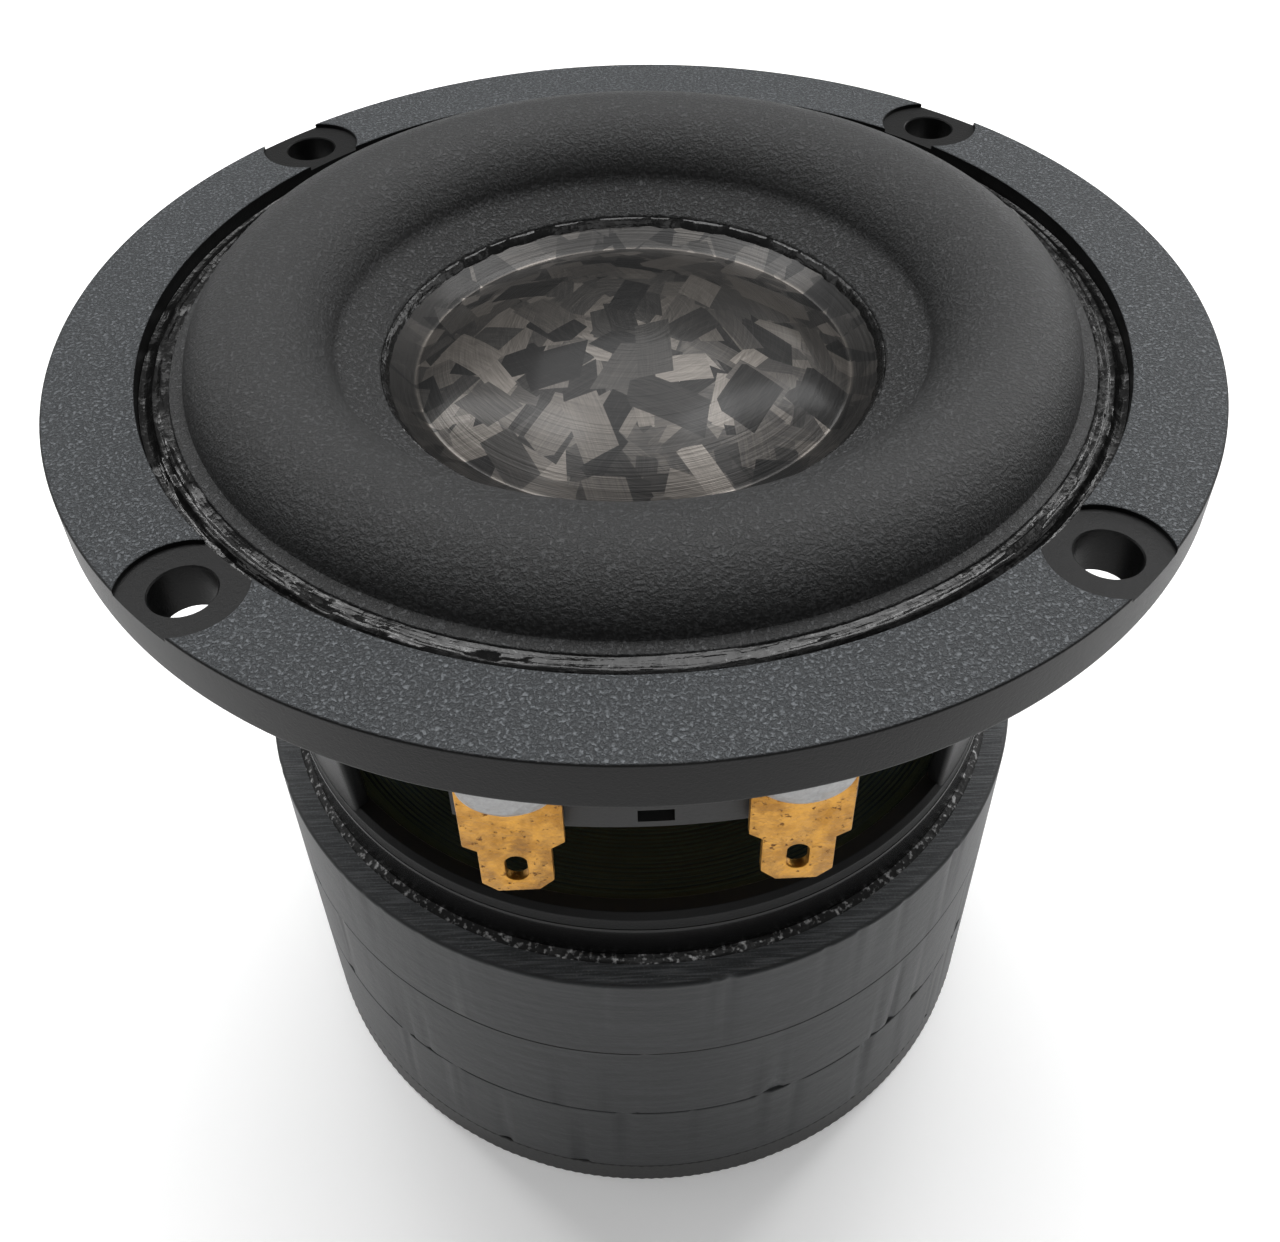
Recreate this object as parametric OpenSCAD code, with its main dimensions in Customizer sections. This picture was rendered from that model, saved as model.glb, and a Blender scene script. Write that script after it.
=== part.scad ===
// Loudspeaker driver: a moulded basket with four arms, a rubber half-roll surround,
// a domed diaphragm on a voice coil, and a stacked ferrite motor.
// The origin is the centre of the flange's rear face, +Z points out of the front,
// and the terminals are on the -Y side.

/* [Flange and basket] */
// Outside diameter of the flange
flange_d = 93; // [90:0.5:96]
// Thickness of the flange
flange_t = 4.1; // [3.6:0.1:5]
// Diameter of the recess that holds the surround
recess_d = 79.2; // [78:0.2:80]
// Depth of that recess below the flange's front face
recess_depth = 1.6; // [1.2:0.1:2]
// Diameter of the circle through the four screw holes
bolt_pcd = 86.2; // [85:0.2:87]
// Diameter of a screw hole
bolt_hole_d = 4.6; // [4:0.1:5]
// Diameter of the flat seat round a screw hole
seat_d = 9; // [8:0.1:9.6]
// Depth of that seat
seat_depth = 0.4; // [0.3:0.1:1]
// Outside diameter of the skirt behind the flange
skirt_d = 76; // [75:0.5:77]
// Wall of the skirt and of the arms
basket_wall = 2; // [1.8:0.1:2.4]
// Distance from the flange's rear face down to the top plate
basket_depth = 33.9; // [32:0.1:36]
// Outside diameter of the foot ring
foot_d = 68; // [66:0.5:69]
// Height of the foot ring
foot_h = 1.8; // [1.5:0.1:3]
// Angle that one arm takes round the axis
arm_angle = 22; // [16:1:26]

/* [Moving parts] */
// Middle radius of the surround's roll
roll_mid_r = 30.25; // [30:0.05:30.5]
// Half the width of the roll
roll_half_w = 5.85; // [5.6:0.05:6]
// Height of the roll above its base
roll_h = 5.35; // [5:0.05:5.6]
// Thickness of the surround's rubber
rubber_t = 0.6; // [0.5:0.05:0.7]
// Radius of the crease between the diaphragm's rim and its dome
crease_r = 18.3; // [18:0.1:18.6]
// Height of the dome above the crease
dome_h = 5; // [4:0.1:5.5]
// Thickness of the diaphragm
cone_t = 0.5; // [0.4:0.05:0.6]
// Inside diameter of the voice coil former
former_d = 25.4; // [25.3:0.05:25.5]
// Length of the winding
winding_h = 9; // [7:0.5:10]

/* [Motor] */
// Diameter of the ferrite rings
magnet_d = 73.8; // [72:0.2:75]
// Thickness of one ferrite ring
magnet_t = 11.4; // [10:0.1:12]
// Thickness of the top plate
top_plate_t = 4; // [3.5:0.1:4.5]
// Thickness of the back plate
back_plate_t = 3.2; // [3:0.1:4]
// Diameter of the vent through the pole
vent_d = 8; // [6:0.5:9]

/* [Terminals] */
// Width of a terminal tab's blade
blade_w = 5.2; // [4.8:0.1:5.4]
// Width of a tab's shoulders
shoulder_w = 7.2; // [6.6:0.1:7.4]
// Thickness of a tab
tab_t = 0.8; // [0.6:0.1:0.8]
// Distance of each tab from the middle
tab_x = 10; // [9.6:0.1:10.2]

/* [Hidden] */

$fn = 96;
eps = 0.01;
gap = 0.08;

// basket
flange_r = flange_d / 2;
flange_edge = 0.3;
recess_r = recess_d / 2;
recess_z = flange_t - recess_depth;
opening_r = 35.6;
skirt_r = skirt_d / 2;
skirt_z = -9.5;
shelf_z = -14.5;
shelf_t = 2;
shelf_r = 30;
shelf_in_r = 33.2;
shelf_out_r = 34.8;
foot_r = foot_d / 2;
foot_wall = 1.8;
foot_edge = 0.5;
plate_top_z = -basket_depth;
foot_top_z = plate_top_z + foot_h;
ARM_ANGLES = [30, 150, 210, 330];
BOLT_ANGLES = [45, 135, 225, 315];

// terminals
tab_front_y = -39;
tab_back_y = tab_front_y + tab_t;
tab_top_z = -2.8;
shoulder_z = -13.95;
shoulder_slope = 0.7;
blade_z = -19.6;
blade_chamfer = 1.1;
tab_hole_z = -16.85;
tab_hole_w = 1.6;
tab_hole_h = 2.9;
board_bend_r = 60;
board_front_y = tab_back_y + 0.2;
board_t = 1.4;
board_half_w = 14.4;
board_top_z = -2.6;
board_bottom_z = -14;
board_clear = 0.05;
opening_front_y = -45;
opening_back_y = -34.4;
opening_drop = 3;
slot_w = 2.6;
slot_h = 1.3;
slot_z = -12.65;
rivet_z = -4.7;
rivet_r = 1;
rivet_fit = 0.03;
rivet_head_r = 1.6;
rivet_head_t = 0.4;
rivet_back_y = -35.7;
eyelet_r = 0.9;
eyelet_z = -9;
solder_w = 7;
solder_top_z = -6.6;
solder_mid_z = -7.1;
solder_t = 0.9;

// moving parts
lip_t = 0.7;
lip_z = recess_z + lip_t;
lip_r = 37.2;
rim_slope = 0.55;
rim_r = 24;
crease_z = -1.5;
lip_inner_r = 21;
lip_fold_r = 24.2;
lip_inner_t = 0.5;
roll_outer_z = lip_z - rubber_t / 2;
former_r = former_d / 2;
former_t = 0.2;
former_out_r = former_r + former_t;
winding_t = 0.5;
spider_t = 0.45;
spider_wave = 0.75;
spider_waves = 5;
spider_in_r = 15;
spider_out_r = 29.8;
spider_rim_r = 32.6;
anchor_angle = 70;
anchor_z = -10.4;

// motor
magnet_r = magnet_d / 2;
magnet_bore_r = 16.5;
magnet_edge = 0.4;
glue_t = 0.1;
top_plate_r = foot_r + 0.1;
coil_gap_r = 14;
pole_r = 12.3;
magnet_pitch = magnet_t + glue_t;
plate_bottom_z = plate_top_z - top_plate_t;
yoke_top_z = plate_bottom_z - 3 * magnet_pitch - glue_t;
back_z = yoke_top_z - back_plate_t;

// height of the diaphragm's front surface at a radius, on its rim and on its dome
function rim_z(r) = crease_z + rim_slope * (r - crease_r);
function dome_z(r) = crease_z + dome_h * (1 - pow(r / crease_r, 2));

// points of the roll's half ellipse, pulled in by d on every side
roll_inner_z = rim_z(roll_mid_r - roll_half_w) + gap + lip_inner_t / 2;
roll_base_z = (roll_outer_z + roll_inner_z) / 2;
roll_tilt = (roll_outer_z - roll_inner_z) / (2 * roll_half_w);
function roll_point(a, d) = [roll_mid_r + (roll_half_w - d) * cos(a),
    roll_base_z + roll_tilt * roll_half_w * cos(a) + (roll_h - d) * sin(a)];
function roll_arc(d, from, to, n) = [for (i = [0:n]) roll_point(from + (to - from) * i / n, d)];

// height of the spider's middle surface at a radius
spider_z = shelf_z + spider_t / 2;
function spider_mid_z(r) = spider_z + spider_wave
    * sin(360 * spider_waves * (r - spider_in_r) / (spider_out_r - spider_in_r));

// points along a tinsel lead on the +X side, from the former to the terminal
LEAD_ROUTE = [[4.6, -13, -10.4], [5, -15, -10.5], [5.6, -17.5, -10.9], [6.2, -20, -11.5],
    [6.8, -22.5, -12.1], [7.4, -25, -12.3], [8, -27.5, -12.1], [8.7, -30, -11.4],
    [9.3, -32.5, -10.4], [9.8, -35, -9.4], [10, -36.8, -9], [10, -38.2, -9]];
lead_r = 0.5;
lead_sides = 8;

module ring(outer, inner, low, high) {
    translate([0, 0, low])
        difference() {
            cylinder(r = outer, h = high - low);
            translate([0, 0, -1]) cylinder(r = inner, h = high - low + 2);
        }
}

// ---- basket ----

module flange_profile() {
    polygon([[opening_r, 0], [flange_r, 0], [flange_r, flange_t - flange_edge],
        [flange_r - flange_edge, flange_t], [recess_r, flange_t],
        [recess_r, recess_z], [opening_r, recess_z]]);
}

module bowl_profile() {
    polygon([[skirt_r - basket_wall, eps], [skirt_r, eps], [skirt_r, skirt_z],
        [shelf_out_r, shelf_z - shelf_t], [shelf_r, shelf_z - shelf_t], [shelf_r, shelf_z],
        [shelf_in_r, shelf_z], [skirt_r - basket_wall, skirt_z]]);
}

module foot_profile() {
    polygon([[foot_r - foot_wall, plate_top_z], [foot_r, plate_top_z],
        [foot_r, foot_top_z - foot_edge], [foot_r - foot_edge, foot_top_z],
        [foot_r - foot_wall, foot_top_z]]);
}

module arm_profile() {
    inset = 0.1;
    polygon([[shelf_out_r, shelf_z - shelf_t / 2], [foot_r - inset, foot_top_z - foot_h / 2],
        [foot_r - foot_wall + inset, foot_top_z - foot_h / 2],
        [shelf_in_r - inset, shelf_z - shelf_t / 2]]);
}

// a wedge that keeps one arm out of a full turned wall
module arm_wedge(angle) {
    near = 10;
    far = 50;
    spread = tan(arm_angle / 2);
    rotate([0, 0, angle])
        translate([0, 0, plate_top_z])
            linear_extrude(height = shelf_z - plate_top_z)
                polygon([[near, -near * spread], [far, -far * spread], [far, far * spread],
                    [near, near * spread]]);
}

module board_opening(low, high) {
    half = board_half_w + board_clear;
    translate([-half, opening_front_y, low])
        cube([2 * half, opening_back_y - opening_front_y, high - low]);
}

module frame() {
    color("#2c2d30")
        difference() {
            union() {
                rotate_extrude() flange_profile();
                rotate_extrude() bowl_profile();
                rotate_extrude() foot_profile();
                for (a = ARM_ANGLES)
                    intersection() {
                        rotate_extrude() arm_profile();
                        arm_wedge(a);
                    }
            }
            for (a = BOLT_ANGLES) {
                rotate([0, 0, a])
                    translate([bolt_pcd / 2, 0, -1])
                        cylinder(d = bolt_hole_d, h = flange_t + 2);
                rotate([0, 0, a])
                    translate([bolt_pcd / 2, 0, flange_t - seat_depth])
                        cylinder(d = seat_d, h = 2);
            }
            // opening in the skirt that the terminal board closes
            board_opening(board_bottom_z - board_clear, board_top_z + board_clear);
            // the same opening, down to the spider shelf
            board_opening(shelf_z, shelf_z + opening_drop);
        }
}

// ---- terminals ----

module terminal_board() {
    bend_y = board_front_y + board_bend_r;
    drill_y = -30;
    drill_h = 12;
    color("#3b3c3f")
        difference() {
            intersection() {
                translate([0, bend_y, 0])
                    ring(board_bend_r, board_bend_r - board_t, board_bottom_z, board_top_z);
                translate([-board_half_w, drill_y - drill_h, board_bottom_z - 1])
                    cube([2 * board_half_w, drill_h, board_top_z - board_bottom_z + 2]);
            }
            translate([-slot_w / 2, drill_y - drill_h, slot_z - slot_h / 2])
                cube([slot_w, drill_h, slot_h]);
            for (side = [-1, 1]) {
                translate([side * tab_x, drill_y, rivet_z])
                    rotate([90, 0, 0]) cylinder(r = rivet_r, h = drill_h);
                translate([side * tab_x, drill_y, eyelet_z])
                    rotate([90, 0, 0]) cylinder(r = eyelet_r, h = drill_h);
            }
        }
}

module tab_outline() {
    s = shoulder_w / 2;
    b = blade_w / 2;
    neck_z = shoulder_z - shoulder_slope;
    polygon([[-s, tab_top_z], [-s, shoulder_z], [-b, neck_z], [-b, blade_z + blade_chamfer],
        [-b + blade_chamfer, blade_z], [b - blade_chamfer, blade_z],
        [b, blade_z + blade_chamfer], [b, neck_z], [s, shoulder_z], [s, tab_top_z]]);
}

module tab_hole() {
    rise = (tab_hole_h - tab_hole_w) / 2;
    translate([0, tab_hole_z + rise]) circle(d = tab_hole_w, $fn = 32);
    translate([0, tab_hole_z - rise]) circle(d = tab_hole_w, $fn = 32);
    translate([-tab_hole_w / 2, tab_hole_z - rise]) square([tab_hole_w, 2 * rise]);
}

module terminal_tab(side) {
    color("#d9b45f")
        translate([side * tab_x, tab_back_y, 0])
            rotate([90, 0, 0])
                linear_extrude(height = tab_t)
                    difference() {
                        tab_outline();
                        tab_hole();
                        translate([0, rivet_z]) circle(r = rivet_r, $fn = 32);
                    }
}

module terminal_tab_positive() {
    terminal_tab(1);
}

module terminal_tab_negative() {
    terminal_tab(-1);
}

module terminal_rivets() {
    color("#c9a555")
        for (side = [-1, 1])
            translate([side * tab_x, 0, rivet_z])
                rotate([90, 0, 0]) {
                    translate([0, 0, -rivet_back_y])
                        cylinder(r = rivet_r - rivet_fit,
                            h = rivet_back_y - tab_front_y + rivet_head_t / 2);
                    translate([0, 0, -tab_front_y])
                        cylinder(r1 = rivet_head_r, r2 = rivet_head_r * 0.7, h = rivet_head_t);
                }
}

// a dome of solder on the front of each tab, cut off flat at the tab
module terminal_solder() {
    color("#d4d6d8")
        for (side = [-1, 1])
            translate([side * tab_x, tab_front_y, solder_mid_z])
                difference() {
                    rotate([90, 0, 0])
                        cylinder(r1 = solder_w / 2, r2 = solder_w / 2 - solder_t, h = solder_t);
                    translate([-solder_w, -2, solder_top_z - solder_mid_z])
                        cube([2 * solder_w, 4, solder_w]);
                }
}

// ---- surround and diaphragm ----

module surround() {
    lip_in = [for (r = [lip_fold_r, lip_inner_r]) [r, rim_z(r) + gap + lip_inner_t]];
    lip_under = [for (r = [lip_inner_r, rim_r]) [r, rim_z(r) + gap]];
    outer_lip = [[opening_r + 0.1, recess_z], [lip_r, recess_z], [lip_r, lip_z]];
    color("#1d1e20")
        rotate_extrude()
            polygon(concat(outer_lip, roll_arc(0, 8, 172, 24), lip_in, lip_under,
                roll_arc(rubber_t, 168, 12, 24)));
}

module surround_glue_bead() {
    color("#0b0b0c")
        rotate_extrude()
            polygon([[lip_r + 0.02, recess_z], [recess_r - 0.02, recess_z],
                [recess_r - 0.02, recess_z + 0.9], [recess_r - 0.5, recess_z + 1],
                [lip_r + 0.9, recess_z + 0.9], [lip_r + 0.02, recess_z + 0.6]]);
}

module cone() {
    steps = 16;
    front = [for (i = [0:steps]) let (r = crease_r * i / steps) [r, dome_z(r)]];
    back = [for (i = [steps:-1:0]) let (r = crease_r * i / steps) [r, dome_z(r) - cone_t]];
    rim = [[rim_r, rim_z(rim_r)], [rim_r, rim_z(rim_r) - cone_t]];
    color("#55504d")
        rotate_extrude()
            polygon(concat(front, rim, back));
}

module cone_glue_bead() {
    r_in = lip_inner_r - 0.65;
    r_out = lip_inner_r - 0.08;
    color("#0b0b0c")
        rotate_extrude()
            polygon([[r_in, rim_z(r_in)], [r_out, rim_z(r_out)], [r_out, rim_z(r_out) + 0.4],
                [r_in + 0.2, rim_z(r_in) + 0.3]]);
}

module voice_coil_former() {
    top = dome_z(former_out_r) - cone_t - 0.05;
    low = plate_top_z - top_plate_t / 2 - winding_h / 2 - 0.3;
    color("#c8a878") ring(former_out_r, former_r, low, top);
}

module former_collar() {
    r_out = former_out_r + 1.2;
    color("#1a1a1b")
        rotate_extrude()
            polygon([[former_out_r + 0.02, dome_z(former_out_r) - cone_t - 2.4],
                [former_out_r + 0.5, dome_z(former_out_r) - cone_t - 2.2],
                [r_out, dome_z(r_out) - cone_t - 0.02],
                [former_out_r + 0.02, dome_z(former_out_r) - cone_t - 0.05]]);
}

module voice_coil_winding() {
    middle = plate_top_z - top_plate_t / 2;
    color("#b5713b")
        ring(former_out_r + winding_t, former_out_r + eps, middle - winding_h / 2,
            middle + winding_h / 2);
}

// small pads on the former where the tinsel leads are fixed
module lead_anchors() {
    color("#2a2a2b")
        for (side = [-1, 1])
            rotate([0, 0, -90 + side * (90 - anchor_angle)])
                translate([former_out_r + eps, 0, anchor_z])
                    rotate([0, 90, 0]) cylinder(r1 = 1.2, r2 = 0.8, h = 0.6, $fn = 32);
}

module spider() {
    steps = 50;
    radii = [for (i = [0:steps]) spider_in_r + (spider_out_r - spider_in_r) * i / steps];
    half = spider_t / 2;
    top = [for (r = radii) [r, spider_mid_z(r) + half]];
    under = [for (i = [steps:-1:0]) [radii[i], spider_mid_z(radii[i]) - half]];
    color("#c9a94e")
        rotate_extrude()
            polygon(concat([[former_out_r + 0.1, spider_z + 1.2], [former_out_r + 0.5, spider_z + 1.2],
                [former_out_r + 0.7, spider_z + half]], top,
                [[spider_rim_r, spider_z + half], [spider_rim_r, spider_z - half]], under,
                [[former_out_r + 0.1, spider_z - half]]));
}

module spider_glue_bead() {
    r_in = spider_rim_r - 0.4;
    r_out = shelf_in_r - 0.1;
    top = spider_z + spider_t / 2;
    color("#1a1a1b")
        rotate_extrude()
            polygon([[r_in, top + 0.02], [r_out, top + 0.02], [r_out, top + 0.5],
                [r_in + 0.3, top + 0.4]]);
}

// the rings of points of a round tube that follows a route
function unit(v) = v / norm(v);
function heading(path, i) = unit(path[min(i + 1, len(path) - 1)] - path[max(i - 1, 0)]);
function tube_points(path, r, sides) = [for (i = [0:len(path) - 1])
    let (t = heading(path, i), u = unit(cross(t, [0, 0, 1])), v = cross(u, t))
        for (k = [0:sides - 1])
            path[i] + r * cos(360 * k / sides) * u + r * sin(360 * k / sides) * v];
function tube_faces(rings, sides) = concat(
    [[for (k = [0:sides - 1]) k]],
    [for (i = [0:rings - 2]) for (k = [0:sides - 1])
        [i * sides + k, (i + 1) * sides + k, (i + 1) * sides + (k + 1) % sides,
            i * sides + (k + 1) % sides]],
    [[for (k = [sides - 1:-1:0]) (rings - 1) * sides + k]]);

module tinsel_lead() {
    color("#b89668")
        polyhedron(points = tube_points(LEAD_ROUTE, lead_r, lead_sides),
            faces = tube_faces(len(LEAD_ROUTE), lead_sides));
}

module tinsel_lead_positive() {
    tinsel_lead();
}

module tinsel_lead_negative() {
    mirror([1, 0, 0]) tinsel_lead();
}

// ---- motor ----

module top_plate() {
    color("#2b3430") ring(top_plate_r, coil_gap_r, plate_bottom_z, plate_top_z);
}

module plate_glue_bead() {
    color("#8f9294")
        rotate_extrude()
            polygon([[top_plate_r + 0.02, plate_bottom_z - glue_t],
                [top_plate_r + 0.7, plate_bottom_z - glue_t],
                [top_plate_r + 0.45, plate_bottom_z + 0.3],
                [top_plate_r + 0.02, plate_bottom_z + 0.4]]);
}

module magnet(index) {
    high = plate_bottom_z - glue_t - index * magnet_pitch;
    low = high - magnet_t;
    color("#1b1b1d")
        rotate_extrude()
            polygon([[magnet_bore_r, low], [magnet_r - magnet_edge, low],
                [magnet_r, low + magnet_edge], [magnet_r, high - magnet_edge],
                [magnet_r - magnet_edge, high], [magnet_bore_r, high]]);
}

module magnet_front() {
    magnet(0);
}

module magnet_middle() {
    magnet(1);
}

module magnet_rear() {
    magnet(2);
}

module motor_glue_lines() {
    color("#4a3d33") {
        ring(top_plate_r - 0.5, magnet_bore_r + 0.5, plate_bottom_z - glue_t, plate_bottom_z);
        for (i = [1:3]) {
            high = plate_bottom_z - i * magnet_pitch;
            ring(magnet_r - 0.5, magnet_bore_r + 0.5, high - glue_t, high);
        }
    }
}

// back plate and pole in one turned piece, with a vent through it
module back_yoke() {
    vent_r = vent_d / 2;
    color("#222325")
        rotate_extrude()
            polygon([[vent_r + 0.8, back_z], [magnet_r - 0.2, back_z],
                [magnet_r, back_z + 0.2], [magnet_r, yoke_top_z],
                [pole_r, yoke_top_z], [pole_r, plate_top_z - 0.6],
                [pole_r - 0.6, plate_top_z], [vent_r + 0.8, plate_top_z],
                [vent_r, plate_top_z - 0.8], [vent_r, back_z + 0.8]]);
}

frame();
terminal_board();
terminal_tab_positive();
terminal_tab_negative();
terminal_rivets();
terminal_solder();
surround();
surround_glue_bead();
cone();
cone_glue_bead();
voice_coil_former();
former_collar();
voice_coil_winding();
lead_anchors();
spider();
spider_glue_bead();
tinsel_lead_positive();
tinsel_lead_negative();
top_plate();
plate_glue_bead();
magnet_front();
magnet_middle();
magnet_rear();
motor_glue_lines();
back_yoke();
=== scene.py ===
# %% [markdown]
# # A stacked-magnet loudspeaker driver
#
# The object is a small driver for a car's midrange: a moulded basket with a broad flange, a rubber
# half-roll surround, a domed diaphragm pressed from chopped carbon, and three ferrite rings behind.
# The CAD model holds every size and every joint, so this script loads it first as a fixed frame.
# Each piece below is turned, cut or bent in mesh code to the CAD sizes, then given a finish.

# %% Load the frame
from math import asin, cos, degrees, pi, radians, sin, tan

import bmesh
import bpy
from mathutils import Matrix, Vector, noise


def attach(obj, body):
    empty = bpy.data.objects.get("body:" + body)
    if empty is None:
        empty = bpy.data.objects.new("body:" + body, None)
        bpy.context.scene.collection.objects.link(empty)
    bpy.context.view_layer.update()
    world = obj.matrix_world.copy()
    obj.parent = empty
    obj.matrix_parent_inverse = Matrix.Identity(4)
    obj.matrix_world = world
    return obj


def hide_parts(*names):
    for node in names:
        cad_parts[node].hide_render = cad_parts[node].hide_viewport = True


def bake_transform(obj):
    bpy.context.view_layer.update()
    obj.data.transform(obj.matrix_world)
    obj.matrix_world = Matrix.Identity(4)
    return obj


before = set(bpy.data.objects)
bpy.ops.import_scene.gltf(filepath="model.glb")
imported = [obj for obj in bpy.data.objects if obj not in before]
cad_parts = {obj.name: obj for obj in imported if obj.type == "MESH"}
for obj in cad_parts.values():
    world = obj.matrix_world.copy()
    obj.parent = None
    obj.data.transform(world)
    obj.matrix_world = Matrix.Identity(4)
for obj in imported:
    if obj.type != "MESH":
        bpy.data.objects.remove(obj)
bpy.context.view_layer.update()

# %% [markdown]
# The sizes are in millimetres, because that is how a driver is drawn, and become metres only when a
# point is made. The origin is the centre of the flange's rear face, and +Z points out of the front.

# %% Driving sizes
MM = 0.001
FLANGE_R = 46.5
FLANGE_T = 4.1
RECESS_R = 39.6
RECESS_Z = 2.5
OPENING_R = 35.6
BOLT_CIRCLE_R = 43.1
BOLT_ANGLES = [45, 135, 225, 315]
SKIRT_R = 38
SHELF_Z = -14.5
ARM_ANGLES = [30, 150, 210, 330]
ARM_WIDTH = 22
FOOT_R = 34
PLATE_TOP = -33.9
PLATE_FOOT = -37.9
PLATE_R = 34.1
MAGNET_R = 36.9
MAGNET_BORE_R = 16.5
MAGNET_TOPS = [-38.0, -49.5, -61.0]
MAGNET_T = 11.4
YOKE_TOP = -72.5
BACK_Z = -75.7

STILL = "basket_and_motor"
MOVING = "diaphragm"

# %% [markdown]
# The camera stands in front of the terminals and looks down on the driver from about 42 degrees,
# close enough for strong perspective. It is placed by turning a frame of its own about the flange's
# centre and stepping back, so azimuth, elevation, roll and distance stay separate numbers.

# %% Camera
VIEW_AZIMUTH = -1.45
VIEW_ELEVATION = 41.68
VIEW_ROLL = -1.26
VIEW_DISTANCE = 115.96
VIEW_RIGHT = -0.59
VIEW_UP = 12.73
FOCAL_PER_WIDTH = 1.0784766
VERTICAL_SHIFT = -0.0945

facing = (
    Matrix.Rotation(radians(VIEW_AZIMUTH), 3, "Z")
    @ Matrix.Rotation(radians(90 - VIEW_ELEVATION), 3, "X")
    @ Matrix.Rotation(radians(VIEW_ROLL), 3, "Z")
)
stand = facing @ Vector((-VIEW_RIGHT, -VIEW_UP, VIEW_DISTANCE)) * MM
lens = bpy.data.cameras.new("camera")
lens.sensor_width = 36
lens.lens = lens.sensor_width * FOCAL_PER_WIDTH
lens.shift_y = VERTICAL_SHIFT
lens.clip_start = 0.005
camera = bpy.data.objects.new("camera", lens)
camera.matrix_world = Matrix.Translation(stand) @ facing.to_4x4()
bpy.context.scene.collection.objects.link(camera)
bpy.context.scene.camera = camera
print("camera at", [round(v, 4) for v in stand], "lens", round(lens.lens, 2))

# %% [markdown]
# ## Shader sums
#
# A finish is mostly arithmetic on positions: distance from the axis, noise, stripes. Wiring Math
# nodes by hand hides the sum, so a small class wraps a socket and lets Python's operators add the
# nodes. One method makes every other node: its settings first, then its sockets.


# %% A socket that does sums
class Field:
    """One socket of a material's node tree."""

    def __init__(self, tree, socket):
        self.tree = tree
        self.socket = socket

    def node(self, kind, settings=None, inputs=None, output=0):
        made = self.tree.nodes.new("ShaderNode" + kind)
        for name, value in (settings or {}).items():
            if name == "stops":
                self.set_stops(made.color_ramp, value)
            else:
                setattr(made, name, value)
        for name, value in (inputs or {}).items():
            if isinstance(value, Field):
                self.tree.links.new(value.socket, made.inputs[name])
            else:
                made.inputs[name].default_value = value
        return Field(self.tree, made.outputs[output])

    @staticmethod
    def set_stops(ramp, stops):
        while len(ramp.elements) < len(stops):
            ramp.elements.new(1)
        for element, (position, colour) in zip(ramp.elements, stops):
            element.position = position
            element.color = colour

    def math(self, operation, first, second=0.0, third=0.0):
        inputs = {0: first, 1: second, 2: third}
        return self.node("Math", {"operation": operation}, inputs)

    def __add__(self, other):
        return self.math("ADD", self, other)

    __radd__ = __add__

    def __sub__(self, other):
        return self.math("SUBTRACT", self, other)

    def __rsub__(self, other):
        return self.math("SUBTRACT", other, self)

    def __mul__(self, other):
        return self.math("MULTIPLY", self, other)

    __rmul__ = __mul__

    def __gt__(self, other):
        return self.math("GREATER_THAN", self, other)

    def __lt__(self, other):
        return self.math("LESS_THAN", self, other)

    def absolute(self):
        return self.math("ABSOLUTE", self)

    def sine(self):
        return self.math("SINE", self)

    def step(self, low, high):
        """0 below low, 1 above high, and a smooth rise between them."""
        settings = {"interpolation_type": "SMOOTHSTEP"}
        inputs = {"Value": self, "From Min": low, "From Max": high}
        return self.node("MapRange", settings, inputs)

    def stretched(self, x, y, z):
        """The same place on a pattern that is scaled by these amounts."""
        return self.node("VectorMath", {"operation": "MULTIPLY"}, {0: self, 1: (x, y, z)})

    def grain(self, per_mm, detail=2.0, roughness=0.5, distortion=0.0):
        """Soft noise between 0 and 1, with this many bumps to a millimetre."""
        inputs = {
            "Vector": self,
            "Scale": per_mm,
            "Detail": detail,
            "Roughness": roughness,
            "Distortion": distortion,
        }
        return self.node("TexNoise", None, inputs)

    def blend(self, under, over, kind="MIX"):
        """A colour between two others, with this field as the share of the second."""
        settings = {"data_type": "RGBA", "blend_type": kind, "clamp_factor": True}
        return self.node("Mix", settings, {0: self, 6: under, 7: over}, output=2)


# %% [markdown]
# Every material starts from Object coordinates, because the pieces' objects all sit at the origin
# and a pattern then keeps its place and its real size. They are turned to millimetres at once.


# %% Start and finish a material
def grey(level, warmth=0.0):
    """An almost neutral colour; warmth above 0 leans to brown, below 0 to blue."""
    return (level * (1 + warmth), level, level * (1 - warmth), 1)


def start_material(name):
    material = bpy.data.materials.new(name)
    material.use_nodes = True
    material.node_tree.nodes.clear()
    place = Field(material.node_tree, None).node("TexCoord", output="Object")
    here = place.node("VectorMath", {"operation": "SCALE"}, {0: place, "Scale": 1 / MM})
    return material, here


def axis_distance(here):
    """Distance from the driver's axis, in millimetres."""
    flat = here.stretched(1, 1, 0)
    return here.node("VectorMath", {"operation": "LENGTH"}, {0: flat}, output="Value")


def around(here):
    """Angle round the driver's axis, in radians."""
    x = here.node("SeparateXYZ", None, {0: here}, output="X")
    y = here.node("SeparateXYZ", None, {0: here}, output="Y")
    return here.math("ARCTAN2", y, x)


def height_of(here):
    return here.node("SeparateXYZ", None, {0: here}, output="Z")


def polar(here, along, across, up):
    """A place on a pattern laid round the axis: stretch it along the turn, across it and up."""
    inputs = {"X": around(here) * along, "Y": axis_distance(here) * across,
              "Z": height_of(here) * up}
    return here.node("CombineXYZ", None, inputs)


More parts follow.
